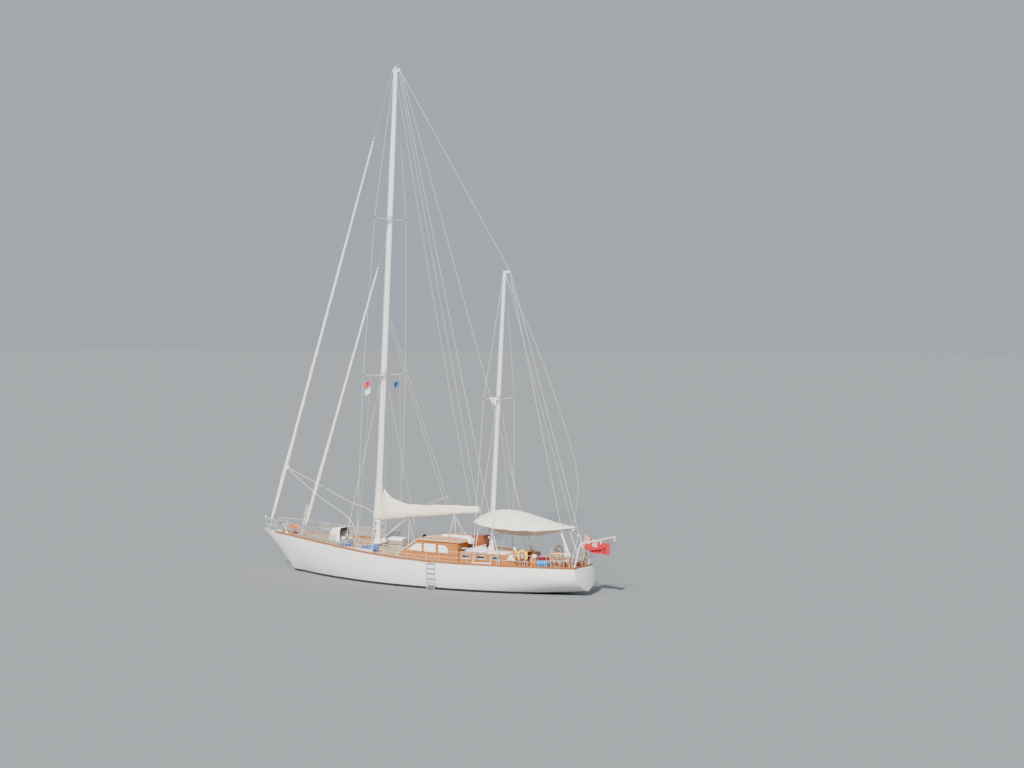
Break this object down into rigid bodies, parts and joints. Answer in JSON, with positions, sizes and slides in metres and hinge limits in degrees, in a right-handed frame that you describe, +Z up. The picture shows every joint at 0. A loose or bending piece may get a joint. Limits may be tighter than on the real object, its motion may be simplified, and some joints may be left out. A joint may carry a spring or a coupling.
{
  "type": "sailing yacht",
  "caption": "Ketch-rigged sailing yacht with furled sails, varnished deckhouse, swinging booms, sliding hatches and a rudder that turns with the wheel.",
  "frame": {"origin": "amidships on the centreline, on the plane of the waterline she floats at", "axes": "+X towards the bow, +Y to port, +Z up"},
  "size_m": [21.338, 4.7603, 29.3],
  "materials": {
    "hull_paint": "gloss white topsides over near-black antifouling",
    "antifouling": "matt near-black",
    "teak": "scrubbed teak planks",
    "varnish": "gloss varnished mahogany",
    "mast_paint": "gloss white",
    "canvas": "cream sailcloth and canvas",
    "stainless": "polished stainless steel",
    "bronze": "dull bronze",
    "cast_metal": "painted grey",
    "buoy_yellow": "yellow foam in a cover",
    "flag_red": "woven bunting",
    "can_blue": "blue and white",
    "bag_blue": "dark blue sail bag",
    "white_lid": "white gelcoat"
  },
  "bodies": {
    "root": {"hull_bow": "hull_paint", "hull_forward": "hull_paint", "hull_saloon": "hull_paint", "hull_stern": "hull_paint", "deck": "teak", "ballast_keel": "antifouling", "taffrail": "varnish", "engine_block": "cast_metal", "shaft_bracket": "bronze", "deckhouse_front": "varnish", "deckhouse_aft": "varnish", "deckhouse_roof": "teak", "aft_trunk": "varnish", "stair_box": "varnish", "fore_hood": "canvas", "main_mast": "mast_paint", "mizzen_mast": "mast_paint", "backstays": "stainless", "furled_genoa": "canvas", "furled_staysail": "canvas", "pulpit": "stainless", "pushpit": "stainless", "flagstaff": "varnish", "ensign": "flag_red", "boarding_ladder": "stainless", "lifebuoy": "buoy_yellow", "cockpit_coaming": "varnish", "steering_pedestal": "varnish", "windlass": "cast_metal", "jugs": "can_blue", "deck_bags": "bag_blue", "trunk_covers": "canvas", "side_stowage": "can_blue", "rail_port": "varnish", "lifelines_port": "stainless", "davit_port": "mast_paint", "deckhouse_port": "varnish", "window_covers_port": "canvas", "main_shrouds_port": "stainless", "mizzen_shrouds_port": "stainless", "rail_starboard": "varnish", "lifelines_starboard": "stainless", "davit_starboard": "mast_paint", "deckhouse_starboard": "varnish", "window_covers_starboard": "canvas", "main_shrouds_starboard": "stainless", "mizzen_shrouds_starboard": "stainless"},
    "rudder": {"rudder": "antifouling"},
    "wheel": {"steering_wheel": "varnish"},
    "propeller": {"propeller": "bronze"},
    "main_boom": {"main_boom": "mast_paint", "main_sail_cover": "canvas", "boom_vang": "stainless"},
    "mizzen_boom": {"mizzen_boom": "mast_paint", "mizzen_sail_cover": "canvas", "awning": "canvas"},
    "fore_lid": {"fore_hatch_lid": "white_lid"},
    "skylight_lid": {"skylight_lid": "white_lid"},
    "stair_slide": {"stair_slide": "varnish"},
    "aft_hatch": {"aft_hatch": "varnish"}
  },
  "joints": [
    {"name": "rudder_turn", "type": "hinge", "parent": "root", "child": "rudder", "pos_m": [-7.02, 0, -1], "axis": [0, 0, 1], "range_deg": [-35, 35]},
    {"name": "wheel_turn", "type": "hinge", "parent": "root", "child": "wheel", "pos_m": [-8.33, 0, 1.93], "axis": [1, 0, 0], "range_deg": [-540, 540]},
    {"name": "propeller_spin", "type": "hinge", "parent": "root", "child": "propeller", "pos_m": [-5.56, 0, -0.96], "axis": [-0.9834, 0, -0.1813], "continuous": true},
    {"name": "main_boom_swing", "type": "hinge", "parent": "root", "child": "main_boom", "pos_m": [2.315, 0, 3.12], "axis": [-0.0509, 0, 0.9987], "range_deg": [-52, 52]},
    {"name": "mizzen_boom_swing", "type": "hinge", "parent": "root", "child": "mizzen_boom", "pos_m": [-4.672, 0, 3.12], "axis": [-0.0577, 0, 0.9983], "range_deg": [-5, 5]},
    {"name": "fore_lid_hinge", "type": "hinge", "parent": "root", "child": "fore_lid", "pos_m": [5.33, 0, 1.993], "axis": [0, 1, 0], "range_deg": [0, 42]},
    {"name": "skylight_hinge", "type": "hinge", "parent": "root", "child": "skylight_lid", "pos_m": [1.635, 0, 2.088], "axis": [0, 1, 0], "range_deg": [0, 40]},
    {"name": "stair_slide_run", "type": "slide", "parent": "root", "child": "stair_slide", "axis": [1, 0, 0], "range_m": [0, 0.6]},
    {"name": "aft_hatch_run", "type": "slide", "parent": "root", "child": "aft_hatch", "axis": [1, 0, 0], "range_m": [0, 0.6]}
  ],
  "couplings": [
    {"joint": "wheel_turn", "follows": "rudder_turn", "ratio": 15.4}
  ]
}
